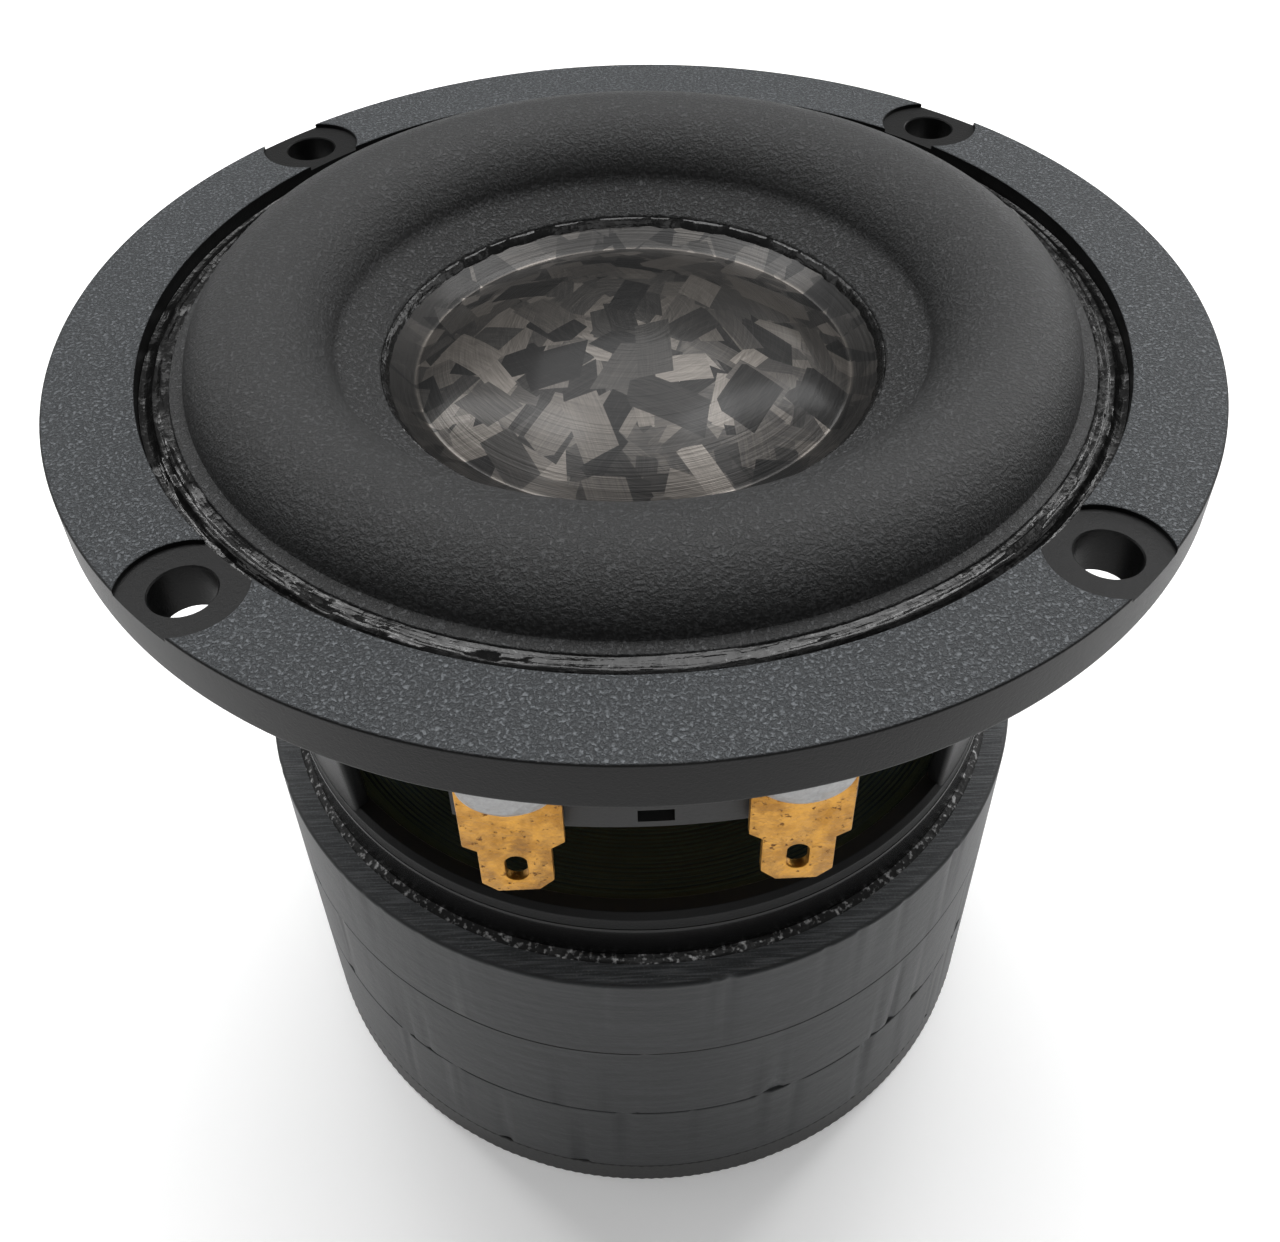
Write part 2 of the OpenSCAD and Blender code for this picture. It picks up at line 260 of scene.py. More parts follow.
def finish_material(here, colour, roughness, relief=None, **constants):
    """Wire the surface. Relief is a height in millimetres; constants go straight to sockets."""
    inputs = {"Base Color": colour, "Roughness": roughness}
    if relief is not None:
        bump_inputs = {"Height": relief, "Distance": MM, "Strength": 1.0}
        inputs["Normal"] = here.node("Bump", None, bump_inputs)
    inputs.update({name.replace("_", " "): value for name, value in constants.items()})
    surface = here.node("BsdfPrincipled", None, inputs)
    output = here.tree.nodes.new("ShaderNodeOutputMaterial")
    here.tree.links.new(surface.socket, output.inputs["Surface"])


# %% [markdown]
# ## Materials
#
# The basket is cast and coated in a fine black texture like leather. It is strong on the flange's
# face only: the flange's side is turned smooth and darkened with painted shade, and the skirt and arms have a
# satin coat.

# %% Basket coating
basket_black, here = start_material("basket_black")
radius = axis_distance(here)
on_face = height_of(here).step(4.0, 4.08) * (1 - radius.step(46.3, 46.45))
on_skirt = 1 - height_of(here).step(-0.6, -0.1)
leather = here.grain(3.9, 3, 0.6, 0.6)
fine = here.grain(8.0, 2, 0.6)
face_relief = leather.step(0.36, 0.64) * 0.14 + fine * 0.03
satin_relief = leather * 0.02 + fine * 0.015
relief = face_relief * on_face + satin_relief * (1 - on_face)
speck = leather.step(0.4, 0.66) * 0.6 + fine.step(0.5, 0.75) * 0.3 + here.grain(0.09, 2) * 0.1
# The flange's side gets a darker colour than the skirt and arms: painted shade.
side_shade_and_skirt = on_skirt.blend(grey(0.004, -0.02), grey(0.008, -0.02))
tone = on_face.blend(side_shade_and_skirt, speck.blend(grey(0.045, -0.05), grey(0.15, -0.06)))
rough = on_face * 0.14 + 0.38 + fine * 0.08
finish_material(here, tone, rough, relief, Specular_IOR_Level=0.16)
print("basket coating ready")

# %% Surround rubber
surround_rubber, here = start_material("surround_rubber")
radius = axis_distance(here)
on_lip = 1 - radius.step(24.0, 24.6)
dust = here.grain(3.3, 3, 0.7)
pores = here.grain(9.0, 1)
relief = dust.step(0.35, 0.68) * (0.07 + on_lip * 0.04) + pores * 0.03
speck = dust.step(0.46, 0.72) * (0.5 + on_lip * 0.35)
tone = speck.blend(grey(0.012, -0.02), grey(0.085, -0.03))
finish_material(here, tone, 0.5 + dust * 0.14, relief, Specular_IOR_Level=0.42)

# %% Black glue
glue_black, here = start_material("glue_black")
lumps = here.grain(1.3, 3, 0.55)
strings = polar(here, 6, 1.6, 1).grain(1.0, 3)
finish_material(here, grey(0.004), 0.16 + lumps.step(0.4, 0.8) * 0.3, strings * 0.14 + lumps * 0.08,
                Specular_IOR_Level=0.35)
print("surround materials ready")

# %% [markdown]
# The diaphragm is chopped carbon: short flat strips of fibre that fall at any angle and overlap.
# Each layer divides the face into squares, and puts one straight-edged flake of its own length,
# width, angle and shade in each square. Later layers lie on top. Along each flake run fine fibre
# lines, and round the whole face run the marks of turning, under a clear lacquer. Each layer is
# laid a hair's breadth off the one below: that makes the renderer work them out one after another,
# so that it never holds more values than it has room for.

# %% Chopped carbon
FLAKE_LAYERS = [(6.4, 0.0, 11.0), (5.3, 3.1, 47.0), (5.7, 5.7, 83.0), (4.8, 1.9, 20.0),
                (6.0, 4.2, 64.0), (5.1, 6.4, 35.0), (5.5, 2.6, 5.0), (6.8, 0.9, 75.0)]
HAIR = 1e-6


def flake_layer(here, square, offset, angle):
    """One layer of flakes: where it lies, and its shade and fibre lines as one vector."""
    mapping = {"Vector": here, "Location": (offset, -offset * 1.7, offset * 9),
               "Rotation": (0, 0, radians(angle)), "Scale": (1 / square, 1 / square, 0)}
    grid = here.node("Mapping", None, mapping)
    corner = grid.node("VectorMath", {"operation": "FLOOR"}, {0: grid})
    inside = grid.node("VectorMath", {"operation": "SUBTRACT"}, {0: grid, 1: corner})
    chance = grid.node("TexWhiteNoise", {"noise_dimensions": "3D"}, {"Vector": corner}, output="Color")
    length_chance = chance.node("SeparateColor", None, {0: chance}, output=2)
    width_chance = chance.node("SeparateColor", None, {0: chance}, output=1)
    turn_chance = chance.node("SeparateColor", None, {0: chance}, output=0)
    jitter = chance.node("VectorMath", {"operation": "MULTIPLY_ADD"},
                         {0: chance, 1: (0.3, 0.3, 0), 2: (-0.65, -0.65, 0)})
    centred = inside.node("VectorMath", {"operation": "ADD"}, {0: inside, 1: jitter})
    flake = centred.node("VectorRotate", {"rotation_type": "Z_AXIS"},
                         {"Vector": centred, "Angle": turn_chance * (2 * pi)})
    along = flake.node("SeparateXYZ", None, {0: flake}, output="X")
    across = flake.node("SeparateXYZ", None, {0: flake}, output="Y")
    skew = across * (length_chance - 0.5)
    within_length = (along + skew).absolute() < length_chance * 0.25 + 0.3
    within_width = across.absolute() < width_chance * 0.17 + 0.13
    shade = (width_chance * 7.31).math("FRACT", width_chance * 7.31)
    fibres = flake.stretched(square * 0.35, square * 7, 1).grain(1.0, 3, 0.6)
    look = flake.node("CombineXYZ", None, {"X": shade, "Y": fibres, "Z": 0.0})
    return within_length * within_width, look


chopped_carbon, here = start_material("chopped_carbon")
bed = {"X": here.grain(0.4, 2), "Y": here.stretched(0.4, 8, 1).grain(1.0, 3), "Z": 0.0}
looks = here.node("CombineXYZ", None, bed)
for square, offset, angle in FLAKE_LAYERS:
    nudge = {0: looks, 1: (HAIR, HAIR, HAIR), 2: here}
    place = here.node("VectorMath", {"operation": "MULTIPLY_ADD"}, nudge)
    present, look = flake_layer(place, square, offset, angle)
    looks = here.node("Mix", {"data_type": "VECTOR"}, {0: present, 4: looks, 5: look}, output=1)
shade, fibres = (looks.node("SeparateXYZ", None, {0: looks}, output=axis) for axis in "XY")
radius = axis_distance(here)
# The rim's tone is darkened by almost half: painted shade on the same carbon.
on_rim = radius.step(18.2, 18.6)
# A thin band along the crease is lightened: a painted highlight.
crease_highlight = 1 - (radius - 18.3).absolute().step(0.05, 0.28)
lathe = polar(here, 0.8, 5.0, 0).grain(1.0, 4, 0.65)
lathe_bold = polar(here, 0.5, 2.2, 0).grain(1.0, 3)
level = (shade * 0.85 + fibres * 0.5 - 0.28 + (lathe - 0.5) * 0.3) * (1 - on_rim * 0.45) + crease_highlight * 0.25
tone = level.node("ValToRGB", {"stops": [(0.0, grey(0.008)), (0.35, grey(0.028, 0.05)),
                                         (0.65, grey(0.062, 0.1)), (1.0, grey(0.13, 0.1))]}, {0: level})
rough = 0.24 + fibres * 0.16 + (1 - shade) * 0.12
relief = lathe * (0.035 + on_rim * 0.025) + lathe_bold * 0.03
finish_material(here, tone, rough, relief, Metallic=0.65, Coat_Weight=0.12, Coat_Roughness=0.14,
                Specular_IOR_Level=0.25)
print("chopped carbon ready:", len(FLAKE_LAYERS), "layers of flakes")

# %% [markdown]
# The tabs are brass with a thin gold plate, rolled and punched, so they carry long rolling marks,
# small dents, patches of tarnish and small pits.

# %% Gold plate
gold_plate, here = start_material("gold_plate")
rolled = here.stretched(0.8, 1, 0.12).grain(3.0, 4, 0.6)
dents = here.grain(1.1, 4, 0.65)
tarnish = here.grain(0.5, 4, 0.65).step(0.4, 0.68)
pits = here.grain(1.8, 3, 0.6).step(0.6, 0.7)
metal = tarnish.blend((0.58, 0.30, 0.06, 1), (0.36, 0.17, 0.03, 1))
metal = pits.blend(metal, (0.16, 0.07, 0.02, 1))
finish_material(here, metal, 0.27 + dents * 0.25 + pits * 0.15, dents * 0.16 + rolled * 0.02 - pits * 0.05,
                Metallic=1.0)

# %% Solder
solder_metal, here = start_material("solder")
frost = here.grain(3.5, 4, 0.6)
flow = here.grain(0.6, 2)
finish_material(here, frost.blend(grey(0.22), grey(0.45)), 0.3 + frost * 0.2, flow * 0.25 + frost * 0.04,
                Metallic=0.6)

# %% Terminal board
board_black, here = start_material("board_black")
weave = here.grain(4.0, 3, 0.6)
finish_material(here, weave.blend(grey(0.012), grey(0.035)), 0.45 + weave * 0.2, weave * 0.02,
                Specular_IOR_Level=0.3)
print("terminal materials ready")

# %% [markdown]
# The top plate is steel with a dark, slightly green passivation. A lathe left fine rings on it,
# and a polished edge with short upright scratches.

# %% Top plate steel
plated_steel, here = start_material("plated_steel")
radius = axis_distance(here)
rings = radius.node("TexNoise", {"noise_dimensions": "1D"}, {"W": radius, "Scale": 4.0, "Detail": 5.0})
on_edge = radius.step(33.9, 34.05)
scratches = polar(here, 160, 1, 0.25).grain(1.0, 3, 0.6)
stain = here.grain(0.12, 2)
tone = (rings * 0.8 + stain * 0.4).blend((0.006, 0.010, 0.011, 1), (0.055, 0.085, 0.085, 1))
tone = on_edge.blend(tone, grey(0.02))
relief = rings * 0.04 * (1 - on_edge) + scratches * 0.012 * on_edge
finish_material(here, tone, 0.16 + rings * 0.14, relief, Metallic=0.85)

# %% Silver glue line
glue_silver, here = start_material("glue_silver")
lumps = here.grain(2.2, 3)
finish_material(here, lumps.step(0.52, 0.75).blend(grey(0.015), grey(0.4)), 0.25 + lumps * 0.2, lumps * 0.08,
                Metallic=0.6)

# %% [markdown]
# The ferrite rings are ground flat, then painted black. The paint pools into small bumps, and the
# brittle edges have chips that show silver-grey ferrite. Grinding marks cross the flat face.

# %% Magnet paint
magnet_paint, here = start_material("magnet_paint")
radius = axis_distance(here)
up = height_of(here)
on_side = radius.step(36.4, 36.8)
orange_peel = here.grain(0.9, 3, 0.55)
grit = here.grain(5.0, 3, 0.65)
grinding = {"Vector": here, "Rotation": (0, 0, 0.75), "Scale": (0.25, 5, 1)}
ground = here.node("Mapping", None, grinding).grain(1.0, 3)
drips = polar(here, 14, 1, 0.5).grain(1.0, 3)
streaks = polar(here, 3.5, 1, 2.2).grain(1.0, 4, 0.6)
relief = orange_peel * 0.04 + drips * 0.02 * on_side + grit * 0.012
relief = relief + (ground * 0.05 + grit * 0.02) * (1 - on_side)
bare = (ground.step(0.4, 0.7) * 0.5 + grit.step(0.5, 0.75) * 0.4 + 0.25) * (1 - on_side)
tone = (grit * 0.25 + streaks.step(0.35, 0.7) * 0.3).blend(grey(0.012, -0.08), grey(0.055, -0.05))
tone = bare.blend(tone, grey(0.17, -0.04))
finish_material(here, tone, 0.4 + grit * 0.14 + (1 - on_side) * 0.1, relief, Specular_IOR_Level=0.32)

# %% Joint glue
glue_line, here = start_material("glue_line")
lumps = here.grain(1.5, 3)
finish_material(here, lumps.blend(grey(0.01), (0.055, 0.042, 0.03, 1)), 0.35, lumps * 0.08)

# %% Back plate steel
yoke_steel, here = start_material("yoke_steel")
radius = axis_distance(here)
rings = radius.node("TexNoise", {"noise_dimensions": "1D"}, {"W": radius, "Scale": 2.5, "Detail": 4.0})
grit = here.grain(3.0, 3, 0.6)
finish_material(here, (rings * 0.4 + grit * 0.3).blend(grey(0.006), grey(0.03)), 0.4 + grit * 0.15,
                rings * 0.02 + grit * 0.01, Metallic=0.3)
print("motor materials ready")

# %% [markdown]
# Behind the diaphragm are the former, a film of amber plastic, the enamelled copper winding, the
# woven spider and the braided leads. They show through the windows and from behind.

# %% Former film
former_film, here = start_material("former_film")
ripple = polar(here, 3, 1, 0.4).grain(1.0, 2)
finish_material(here, ripple.blend((0.30, 0.13, 0.035, 1), (0.48, 0.24, 0.07, 1)), 0.22 + ripple * 0.1,
                ripple * 0.02, Coat_Weight=0.4)

# %% Copper winding
winding_copper, here = start_material("winding_copper")
enamel = here.grain(0.8, 2)
finish_material(here, enamel.blend((0.62, 0.25, 0.11, 1), (0.80, 0.38, 0.18, 1)), 0.22 + enamel * 0.12,
                enamel * 0.01, Metallic=1.0, Coat_Weight=0.5)

# %% Spider cloth
spider_cloth, here = start_material("spider_cloth")
THREADS_PER_MM = 2.2
x = here.node("SeparateXYZ", None, {0: here}, output="X")
y = here.node("SeparateXYZ", None, {0: here}, output="Y")
warp = (x * (THREADS_PER_MM * pi)).sine()
weft = (y * (THREADS_PER_MM * pi)).sine()
weave = warp * warp + weft * weft
resin = here.grain(0.25, 2)
finish_material(here, (weave * 0.35 + resin * 0.3).blend((0.20, 0.13, 0.045, 1), (0.62, 0.46, 0.20, 1)),
                0.6 + resin * 0.15, weave * 0.05)

# %% Tinsel braid
tinsel_braid, here = start_material("tinsel_braid")
twist = here.grain(3.0, 3)
finish_material(here, twist.blend((0.55, 0.36, 0.22, 1), (0.85, 0.68, 0.48, 1)), 0.3 + twist * 0.2,
                twist * 0.03, Metallic=0.9)
print("materials:", len(bpy.data.materials))

# %% [markdown]
# ## Turned pieces
#
# Nearly every part of a driver is round, so the main tool is a lathe: an outline of radius and
# height is spun about the axis. A real edge is never sharp, and a tiny rounding is what catches
# the light, so a corner may carry a radius, with a spare point on each flat beside it that keeps
# the flat's shading flat.


# %% Outlines with rounded corners
def rounded(corners, segments=4):
    """Replace each corner (radius, height, rounding) with an arc and its two spare points."""
    outline = []
    for i, (r, z, rounding) in enumerate(corners):
        here_2d = Vector((r, z))
        if not rounding:
            outline.append((r, z))
            continue
        before = (Vector(corners[i - 1][:2]) - here_2d).normalized()
        after = (Vector(corners[(i + 1) % len(corners)][:2]) - here_2d).normalized()
        half = before.angle(after) / 2
        reach = rounding / tan(half)
        centre = here_2d + (before + after).normalized() * (rounding / sin(half))
        start = here_2d + before * reach - centre
        end = here_2d + after * reach - centre
        bend = [start.slerp(end, k / segments).normalized() for k in range(segments + 1)]
        arc = [centre + direction * rounding for direction in bend]
        spare = rounding * 0.4
        points = [arc[0] + before * spare] + arc + [arc[-1] + after * spare]
        outline.extend((p.x, p.y) for p in points)
    return outline


# %% The lathe
def lathe_turn(outline, steps=256, sweep=360, start=0, closed=True):
    """Spin an outline about the axis. A part turn gets its two ends filled."""
    bm = bmesh.new()
    verts = [bm.verts.new((r * MM, 0, z * MM)) for r, z in outline]
    edges = [bm.edges.new(pair) for pair in zip(verts, verts[1:])]
    if closed:
        edges.append(bm.edges.new((verts[-1], verts[0])))
    bmesh.ops.rotate(bm, verts=verts, cent=(0, 0, 0), matrix=Matrix.Rotation(radians(start), 3, "Z"))
    bmesh.ops.spin(bm, geom=verts + edges, cent=(0, 0, 0), axis=(0, 0, 1), angle=radians(sweep),
                   steps=steps, use_merge=sweep == 360)
    bmesh.ops.remove_doubles(bm, verts=bm.verts, dist=1e-7)
    if sweep != 360:
        rims = [e for e in bm.edges if e.is_boundary]
        bmesh.ops.holes_fill(bm, edges=rims, sides=0)
    bmesh.ops.recalc_face_normals(bm, faces=bm.faces)
    return bm


# %% From mesh to finished piece
SHARP_ANGLE = 32


def make_piece(bm, name, material, body, nodes, sharp=SHARP_ANGLE):
    """Turn a bmesh into an object that stands for CAD nodes and rides on a body."""
    mesh = bpy.data.meshes.new(name)
    bm.to_mesh(mesh)
    bm.free()
    mesh.shade_smooth()
    mesh.set_sharp_from_angle(angle=radians(sharp))
    mesh.materials.append(material)
    piece = bpy.data.objects.new(name, mesh)
    bpy.context.scene.collection.objects.link(piece)
    if body:
        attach(piece, body)
    if nodes:
        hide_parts(*nodes)
    print(name, "faces", len(mesh.polygons))
    return piece


def join(*parts):
    """One bmesh that holds several, each left as its own closed shape."""
    whole = bmesh.new()
    for part in parts:
        mesh = bpy.data.meshes.new("part")
        part.to_mesh(mesh)
        part.free()
        whole.from_mesh(mesh)
        bpy.data.meshes.remove(mesh)
    return whole


def boolean(bm, tool, operation):
    """Add a tool's volume to a mesh or take it away."""
    objects = []
    for label, source in (("work", bm), ("tool", tool)):
        mesh = bpy.data.meshes.new(label)
        source.to_mesh(mesh)
        source.free()
        objects.append(bpy.data.objects.new(label, mesh))
        bpy.context.scene.collection.objects.link(objects[-1])
    work, cutter = objects
    change = work.modifiers.new("change", "BOOLEAN")
    change.object = cutter
    change.operation = operation
    change.solver = "EXACT"
    view = bpy.context.evaluated_depsgraph_get()
    result = bmesh.new()
    result.from_object(work, view)
    for o in objects:
        mesh = o.data
        bpy.data.objects.remove(o)
        bpy.data.meshes.remove(mesh)
    return result


def turn(bm, angle, axis):
    """Turn a whole mesh about one of the frame's axes, by degrees."""
    bmesh.ops.rotate(bm, verts=bm.verts, cent=(0, 0, 0), matrix=Matrix.Rotation(radians(angle), 3, axis))


def shift(bm, *distances):
    """Move a whole mesh by millimetres along X, Y and Z."""
    bmesh.ops.translate(bm, verts=bm.verts, vec=[distance * MM for distance in distances])


def box_tool(low, high):
    """A plain block between two corners in millimetres, for cutting."""
    bm = bmesh.new()
    low, high = Vector(low), Vector(high)
    size = Matrix.Diagonal((high - low) * MM).to_4x4()
    bmesh.ops.create_cube(bm, size=1, matrix=Matrix.Translation((low + high) / 2 * MM) @ size)
    return bm


# %% [markdown]
# ## Basket
#
# One outline gives the flange, its recess, the skirt and the shelf for the spider. Four arms go
# down to a foot ring on the top plate. The arms are short turned wedges, unions join everything,
# and one cut takes the screw holes, their flat seats and the opening for the terminal board.

# %% Turn the basket
BOWL = [(OPENING_R, RECESS_Z, 0.1), (RECESS_R, RECESS_Z, 0.15), (RECESS_R, FLANGE_T, 0.12),
        (FLANGE_R, FLANGE_T, 0.14), (FLANGE_R, 0, 0.25), (SKIRT_R, 0, 0.4), (SKIRT_R, -9.5, 0.8),
        (34.8, SHELF_Z - 2, 0.3), (30, SHELF_Z - 2, 0.3), (30, SHELF_Z, 0.3), (33.2, SHELF_Z, 0.2),
        (36, -9.5, 0.6), (36, 0, 0), (OPENING_R, 0, 0)]
FOOT = [(32.2, PLATE_TOP, 0), (FOOT_R, PLATE_TOP, 0), (FOOT_R, -32.6, 0.15), (33.5, -32.1, 0.15),
        (32.2, -32.1, 0.15)]
ARM = [(34.8, -15.5, 0), (33.9, -33.0, 0), (32.3, -33.0, 0), (33.1, -15.5, 0)]
arms = []
for angle in ARM_ANGLES:
    arm = lathe_turn(rounded(ARM), steps=16, sweep=ARM_WIDTH, start=angle - ARM_WIDTH / 2)
    upright = [e for e in arm.edges if abs(e.verts[0].co.z - e.verts[1].co.z) > 10 * MM
               and e.calc_face_angle(0) > radians(50)]
    bmesh.ops.bevel(arm, geom=upright, offset=0.45 * MM, offset_type="OFFSET", affect="EDGES", segments=3,
                    profile=0.5, material=-1, clamp_overlap=True)
    arms.append(arm)
basket = boolean(lathe_turn(rounded(BOWL), 320), join(*arms), "UNION")
basket = boolean(basket, lathe_turn(rounded(FOOT), 320), "UNION")
print("basket faces before drilling:", len(basket.faces))

# %% Drill and cut the basket
BOLT_TOOL = [(0, -3), (2.3, -3), (2.3, 3.6), (2.4, 3.7), (4.5, 3.7), (4.5, 4.04), (4.56, 4.1),
             (4.56, 6), (0, 6)]
BOARD_OPENING = [(-14.45, -45, -14.5), (14.45, -34.4, -2.55)]
tools = [box_tool(*BOARD_OPENING)]
for angle in BOLT_ANGLES:
    drill = lathe_turn(BOLT_TOOL, 96)
    shift(drill, BOLT_CIRCLE_R, 0, 0)
    turn(drill, angle, "Z")
    tools.append(drill)
basket = boolean(basket, join(*tools), "DIFFERENCE")
make_piece(basket, "basket_casting", basket_black, STILL, ["frame"])

# %% [markdown]
# ## Terminals
#
# The board is a strip of laminate bent to the skirt. It is a part turn about its own bend axis,
# moved into place, with a slot and two wire holes cut through it.

# %% Terminal board
BEND_R = 60
BOARD_FRONT = -38.0
BOARD_T = 1.4
BOARD_HALF_W = 14.4
BOARD_TOP = -2.6
BOARD_FOOT = -14.0
WIRE_Z = -9
TAB_X = 10.0
half_turn = degrees(asin(BOARD_HALF_W / BEND_R))
board_outline = [(BEND_R, BOARD_FOOT, 0.15), (BEND_R, BOARD_TOP, 0.1), (BEND_R - BOARD_T, BOARD_TOP, 0.1),
                 (BEND_R - BOARD_T, BOARD_FOOT, 0.15)]
board = lathe_turn(rounded(board_outline), 48, 2 * half_turn, 270 - half_turn)
shift(board, 0, BOARD_FRONT + BEND_R, 0)
slot_tool = box_tool((-1.3, -45, -13.3), (1.3, -33, -12.0))
wire_holes = []
for side in (-1, 1):
    hole = lathe_turn([(0, 0), (0.9, 0), (0.9, 12), (0, 12)], 32)
    turn(hole, 90, "X")
    shift(hole, side * TAB_X, -30, WIRE_Z)
    wire_holes.append(hole)
board = boolean(board, join(slot_tool, *wire_holes), "DIFFERENCE")
make_piece(board, "terminal_strip", board_black, STILL, ["terminal_board"])


# %% [markdown]
# A tab is punched from sheet. Its outline becomes one face, the face is extruded by the sheet's
# thickness, the slot is cut, and a small bevel rounds the punched edges.

# %% Terminal tabs
TAB_FRONT = -39.0
TAB_T = 0.8
TAB_OUTLINE = [(-3.6, -2.8), (-3.6, -13.95), (-2.6, -14.65), (-2.6, -18.5), (-1.5, -19.6), (1.5, -19.6),
               (2.6, -18.5), (2.6, -14.65), (3.6, -13.95), (3.6, -2.8)]
HOLE_R = 0.8
HOLE_HEIGHT = 2.9
HOLE_Z = -16.85


def tab(side):
    bm = bmesh.new()
    corners = [bm.verts.new((x * MM, TAB_FRONT * MM, z * MM)) for x, z in TAB_OUTLINE]
    face = bm.faces.new(corners)
    grown = bmesh.ops.extrude_face_region(bm, geom=[face])
    moved = [g for g in grown["geom"] if isinstance(g, bmesh.types.BMVert)]
    bmesh.ops.translate(bm, verts=moved, vec=(0, TAB_T * MM, 0))
    bmesh.ops.recalc_face_normals(bm, faces=bm.faces)
    punch = lathe_turn([(0, 0), (HOLE_R, 0), (HOLE_R, 4), (0, 4)], 32)
    shift(punch, 0, 0, -2)
    for v in punch.verts:
        if abs(v.co.y) > 1e-6:
            v.co.y += (HOLE_HEIGHT / 2 - HOLE_R) * MM * (1 if v.co.y > 0 else -1)
    turn(punch, 90, "X")
    shift(punch, 0, TAB_FRONT + TAB_T / 2, HOLE_Z)
    bm = boolean(bm, punch, "DIFFERENCE")
    rims = [e for e in bm.edges if e.calc_face_angle(0) > radians(40)]
    bmesh.ops.bevel(bm, geom=rims, offset=0.1 * MM, offset_type="OFFSET", affect="EDGES", segments=2,
                    profile=0.5, material=-1, clamp_overlap=True)
    shift(bm, side * TAB_X, 0, 0)
    return bm


make_piece(tab(1), "tab_positive", gold_plate, STILL, ["terminal_tab_positive"])
make_piece(tab(-1), "tab_negative", gold_plate, STILL, ["terminal_tab_negative"])

# %% [markdown]
# Each tab is held by a rivet with a domed head, above a dome of solder that holds the lead.

# %% Rivets
RIVET_Z = -4.7
RIVET_OUTLINE = [(0, 35.7, 0), (0.97, 35.7, 0), (0.97, 39.0, 0), (1.6, 39.0, 0), (1.6, 39.1, 0.08),
                 (1.1, 39.4, 0.15), (0, 39.4, 0)]
rivets = []
for side in (-1, 1):
    rivet = lathe_turn(rounded(RIVET_OUTLINE), 48)
    turn(rivet, 90, "X")
    shift(rivet, side * TAB_X, 0, RIVET_Z)
    rivets.append(rivet)
make_piece(join(*rivets), "rivets", gold_plate, STILL, ["terminal_rivets"])

# %% Solder domes
SOLDER_Z = -7.1
SOLDER_R = 3.5
SOLDER_T = 0.9
SOLDER_CUT_Z = -6.6


def solder_dome(side):
    """A low dome, lumpy like metal that froze as it ran, cut off flat at the top."""
    steps = 20
    arc = [(SOLDER_R * sin(radians(90 * k / steps)), SOLDER_T * cos(radians(90 * k / steps)))
           for k in range(steps + 1)]
    bm = lathe_turn(arc + [(0, 0)], 72)
    for v in bm.verts:
        if v.co.z > 0.02 * MM:
            v.co.z *= 0.82 + 0.18 * noise.noise(v.co * 900 + Vector((side * 5, 0, 0)))
            v.co.xy *= 0.95 + 0.05 * noise.noise(v.co * 500 + Vector((side * 9, 3, 0)))
    turn(bm, 90, "X")
    shift(bm, side * TAB_X, TAB_FRONT, SOLDER_Z)
    everything = bm.verts[:] + bm.edges[:] + bm.faces[:]
    cut = bmesh.ops.bisect_plane(bm, geom=everything, plane_co=(0, 0, SOLDER_CUT_Z * MM),
                                 plane_no=(0, 0, 1), clear_outer=True)
    rims = [g for g in cut["geom_cut"] if isinstance(g, bmesh.types.BMEdge)]
    bmesh.ops.holes_fill(bm, edges=rims, sides=0)
    bmesh.ops.recalc_face_normals(bm, faces=bm.faces)
    return bm


make_piece(join(solder_dome(-1), solder_dome(1)), "solder_joints", solder_metal, STILL,
           ["terminal_solder"])

# %% [markdown]
# ## Surround and diaphragm
#
# The surround is one rubber moulding: an outer lip glued in the recess, a half roll, and an inner
# lip glued on the diaphragm's rim. The roll is half an ellipse, wider than it is high, and tips
# down a little to the inside.

# %% Heights of the moving parts
CREASE_R = 18.3
CREASE_Z = -1.5
DOME_H = 5.0
CONE_T = 0.5
RIM_SLOPE = 0.55
RIM_R = 24.0
GAP = 0.08
RUBBER_T = 0.6
ROLL_MID_R = 30.25
ROLL_HALF_W = 5.85
ROLL_H = 5.34


def dome_z(r):
    return CREASE_Z + DOME_H * (1 - (r / CREASE_R) ** 2)


def rim_z(r):
    return CREASE_Z + RIM_SLOPE * (r - CREASE_R)


ROLL_OUTER_Z = 2.9
ROLL_INNER_Z = rim_z(24.4) + GAP + 0.25
ROLL_BASE_Z = (ROLL_OUTER_Z + ROLL_INNER_Z) / 2
ROLL_TILT = (ROLL_OUTER_Z - ROLL_INNER_Z) / 2


def roll_arc(inset, first, last, count):
    """Points on the roll, from one angle to another, this far inside its outer face."""
    points = []
    for k in range(count + 1):
        a = radians(first + (last - first) * k / count)
        points.append((ROLL_MID_R + (ROLL_HALF_W - inset) * cos(a),
                       ROLL_BASE_Z + ROLL_TILT * cos(a) + (ROLL_H - inset) * sin(a)))
    return points


# %% Turn the surround
LIP_Z = 3.2
outer_lip = [(35.7, RECESS_Z), (37.2, RECESS_Z), (37.2, 3.1), (37.17, 3.17), (37.1, LIP_Z), (36.35, LIP_Z),
             (36.15, 3.24)]
inner_lip = [(24.25, rim_z(24.25) + 0.6), (23.9, rim_z(23.9) + 0.58), (21.15, rim_z(21.15) + 0.58),
             (21.05, rim_z(21.05) + 0.54), (21.0, rim_z(21.0) + 0.45), (21.0, rim_z(21.0) + GAP),
             (24.0, rim_z(24.0) + GAP)]
surround_outline = outer_lip + roll_arc(0, 6, 172, 64) + inner_lip + roll_arc(RUBBER_T, 168, 10, 40)
surround = make_piece(lathe_turn(surround_outline, 320), "rubber_surround", surround_rubber,
                      None, ["surround"], sharp=50)


# %% Bake round pieces in place
def blend_by_radius(piece, still_r, moving_r):
    """Bake a round piece's place into its mesh and work out each point's share between the basket outside and
    the diaphragm inside; the share is not stored.
    """
    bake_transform(piece)
    for v in piece.data.vertices:
        t = (still_r - v.co.xy.length / MM) / (still_r - moving_r)
        t = min(max(t, 0), 1)


blend_by_radius(surround, 35.9, 24.6)

